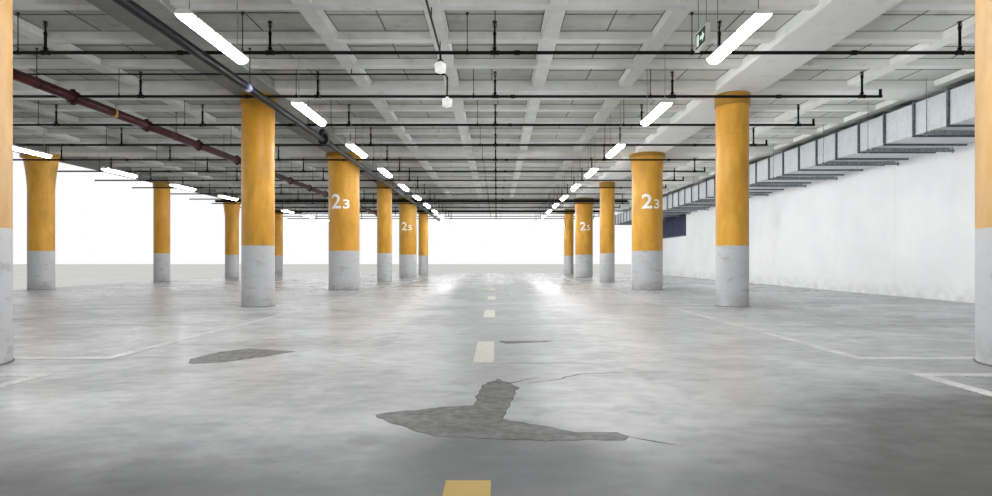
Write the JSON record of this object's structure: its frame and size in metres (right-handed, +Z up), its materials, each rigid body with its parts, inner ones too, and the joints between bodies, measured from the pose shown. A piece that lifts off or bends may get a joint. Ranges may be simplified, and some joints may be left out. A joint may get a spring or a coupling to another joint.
{
  "type": "car park storey",
  "caption": "One storey of a multi storey car park: round columns, coffered ceiling, drive aisle, stall lines, lamps, pipes and air duct between floor and deck slabs.",
  "frame": {"origin": "underside of the floor slab, on the middle line of the drive aisle, half way along it", "axes": "+X across the aisle towards the perimeter wall, +Y along the aisle away from the picture's viewpoint, +Z up"},
  "size_m": [21.595, 32.4, 4.19],
  "materials": {
    "floor_concrete": "power-trowelled concrete with a worn clear sealer",
    "ceiling_concrete": "cast concrete with pale limewash",
    "column_paint": "concrete painted ochre above a pale grey foot",
    "wall_paint": "concrete painted white, matt",
    "board_enamel": "satin navy enamel on sheet",
    "duct_sheet": "spangled zinc coat on folded sheet",
    "zinc_steel": "dull zinc plate",
    "black_steel": "semi-gloss black paint on steel pipe",
    "maroon_steel": "semi-gloss maroon paint on steel pipe",
    "slate_steel": "semi-gloss slate paint on steel pipe",
    "lamp_enamel": "white stoved enamel",
    "lamp_opal": "opal diffuser, lit",
    "sign_panel": "green and white lit panel",
    "detector_plastic": "white moulded plastic",
    "line_paint": "worn white floor paint",
    "dash_paint": "worn pale yellow floor paint"
  },
  "bodies": {
    "root": {"floor_slab": "floor_concrete", "deck_slab": "ceiling_concrete", "girder_left": "ceiling_concrete", "girder_right": "ceiling_concrete", "girder_outer": "ceiling_concrete", "beams_left": "ceiling_concrete", "beams_aisle": "ceiling_concrete", "beams_right": "ceiling_concrete", "ribs_left": "ceiling_concrete", "ribs_aisle": "ceiling_concrete", "ribs_right": "ceiling_concrete", "columns_line_1": "column_paint", "columns_line_2": "column_paint", "columns_line_3": "column_paint", "columns_line_4": "column_paint", "columns_line_5": "column_paint", "columns_line_6": "column_paint", "perimeter_wall": "wall_paint", "wall_board": "board_enamel", "duct_flat_sheets": "duct_sheet", "duct_side_sheets": "duct_sheet", "duct_flanges": "duct_sheet", "duct_struts": "zinc_steel", "duct_rods": "zinc_steel", "sprinkler_pipes_1": "black_steel", "sprinkler_pipes_2": "black_steel", "sprinkler_pipes_3": "black_steel", "sprinkler_hangers": "black_steel", "cross_mains": "black_steel", "fire_main": "maroon_steel", "trunk_pipe": "slate_steel", "main_hangers": "black_steel", "lamp_housings_left": "lamp_enamel", "lamp_housings_right": "lamp_enamel", "lamp_housings_outer": "lamp_enamel", "lamp_diffusers_left": "lamp_opal", "lamp_diffusers_right": "lamp_opal", "lamp_diffusers_outer": "lamp_opal", "lamp_rods": "zinc_steel", "exit_sign": "sign_panel", "exit_sign_rods": "zinc_steel", "detectors": "detector_plastic", "detector_conduits": "black_steel", "parking_lines": "line_paint", "lane_dashes": "dash_paint"}
  },
  "joints": []
}
